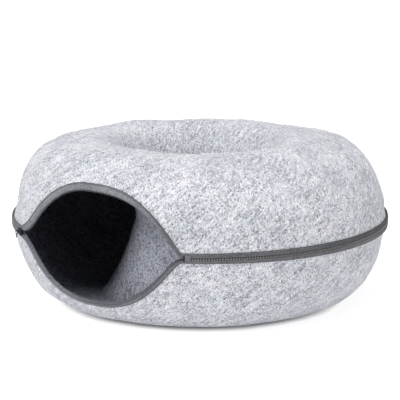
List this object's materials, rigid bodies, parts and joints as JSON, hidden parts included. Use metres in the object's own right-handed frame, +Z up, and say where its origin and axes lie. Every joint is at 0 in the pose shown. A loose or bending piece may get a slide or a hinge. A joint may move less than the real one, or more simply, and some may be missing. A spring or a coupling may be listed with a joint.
{
  "type": "donut cat tunnel",
  "caption": "Ring-shaped felt cat tunnel with a dished middle, a zip round its widest line and an eye-shaped entrance where the zip is open.",
  "frame": {"origin": "middle of the ring at the level of the base it stands on", "axes": "+Z up through the middle hole, -Y towards the front, with the entrance at the front left between -X and -Y"},
  "size_m": [0.5002, 0.5015, 0.217],
  "materials": {
    "felt": "light grey melange needle felt, matt and fibrous",
    "zip_tape": "dark grey woven zip tape, matt",
    "slider_metal": "dark grey enamelled slider, satin"
  },
  "bodies": {
    "root": {"upper_shell": "felt", "lower_shell": "felt", "upper_zip_tape": "zip_tape", "lower_zip_tape": "zip_tape", "zip_slider": "slider_metal", "slider_pull": "slider_metal", "zip_end_stop": "zip_tape"}
  },
  "joints": []
}
